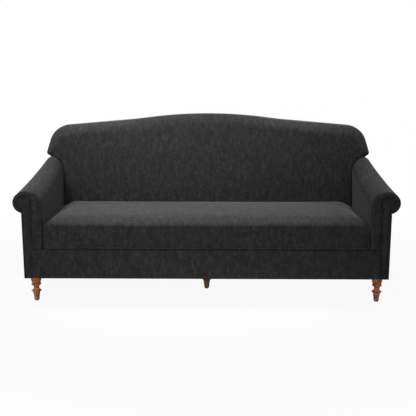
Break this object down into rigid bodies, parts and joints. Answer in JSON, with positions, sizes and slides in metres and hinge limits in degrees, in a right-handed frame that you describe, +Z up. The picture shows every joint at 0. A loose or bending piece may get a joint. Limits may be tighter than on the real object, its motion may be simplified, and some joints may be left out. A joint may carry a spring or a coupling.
{
  "type": "rolled-arm sofa",
  "caption": "Sofa with rolled arms, a camel-shaped tight back with wings, a loose bench seat cushion and turned wooden legs with brass toe caps.",
  "frame": {"origin": "on the floor under the middle of the plan outline", "axes": "+X to the right as seen from the front, along the width; +Y towards the back; +Z up"},
  "size_m": [2.104, 0.8401, 0.992],
  "materials": {
    "charcoal_weave": "soft woven chenille, dark charcoal",
    "foam": "upholstery foam",
    "lining": "black lining cloth, felt and webbing",
    "spring_steel": "bare steel wire and fittings",
    "turned_wood": "reddish-brown stained, satin",
    "antique_brass": "antique brass, dull",
    "zip_tape": "woven zip tape",
    "zip_metal": "dark metal",
    "frame_wood": "plain hardwood and plywood"
  },
  "bodies": {
    "sofa": {"arm_bolts": "spring_steel", "arm_bottom_rail_left": "frame_wood", "arm_bottom_rail_right": "frame_wood", "arm_cover_left": "charcoal_weave", "arm_cover_right": "charcoal_weave", "arm_front_panel_left": "charcoal_weave", "arm_front_panel_right": "charcoal_weave", "arm_front_post_left": "frame_wood", "arm_front_post_right": "frame_wood", "arm_inner_board_left": "frame_wood", "arm_inner_board_right": "frame_wood", "arm_padding_left": "foam", "arm_padding_right": "foam", "arm_piping_left": "charcoal_weave", "arm_piping_right": "charcoal_weave", "arm_rear_post_left": "frame_wood", "arm_rear_post_right": "frame_wood", "arm_top_rail_left": "frame_wood", "arm_top_rail_right": "frame_wood", "back_cover": "charcoal_weave", "back_padding": "foam", "back_post_left": "frame_wood", "back_post_right": "frame_wood", "back_rail": "frame_wood", "back_struts": "frame_wood", "back_tack_rail": "frame_wood", "back_top_rail": "frame_wood", "back_webbing": "lining", "centre_rail": "frame_wood", "corner_blocks": "frame_wood", "cross_rails": "frame_wood", "dust_cover": "lining", "front_border": "charcoal_weave", "front_rail": "frame_wood", "leg_bolts": "spring_steel", "leg_centre": "turned_wood", "leg_ferrules": "antique_brass", "leg_front_left": "turned_wood", "leg_front_right": "turned_wood", "leg_nuts": "spring_steel", "leg_rear_left": "turned_wood", "leg_rear_right": "turned_wood", "outside_arm_panel_left": "charcoal_weave", "outside_arm_panel_right": "charcoal_weave", "outside_back_panel": "charcoal_weave", "seat_deck": "lining", "seat_springs": "spring_steel", "side_rail_left": "frame_wood", "side_rail_right": "frame_wood", "spring_clips": "spring_steel", "wing_plate_left": "frame_wood", "wing_plate_right": "frame_wood"},
    "seat_cushion": {"seat_cushion_cover": "charcoal_weave", "seat_cushion_foam": "foam", "cushion_zip": "zip_tape"},
    "zip_slider": {"zip_slider": "zip_metal"}
  },
  "joints": [
    {"name": "cushion_lift", "type": "slide", "parent": "sofa", "child": "seat_cushion", "axis": [0, 0, 1], "range_m": [0, 0.45]},
    {"name": "zip_slide", "type": "slide", "parent": "seat_cushion", "child": "zip_slider", "axis": [1, 0, 0], "range_m": [0, 1.17]}
  ]
}
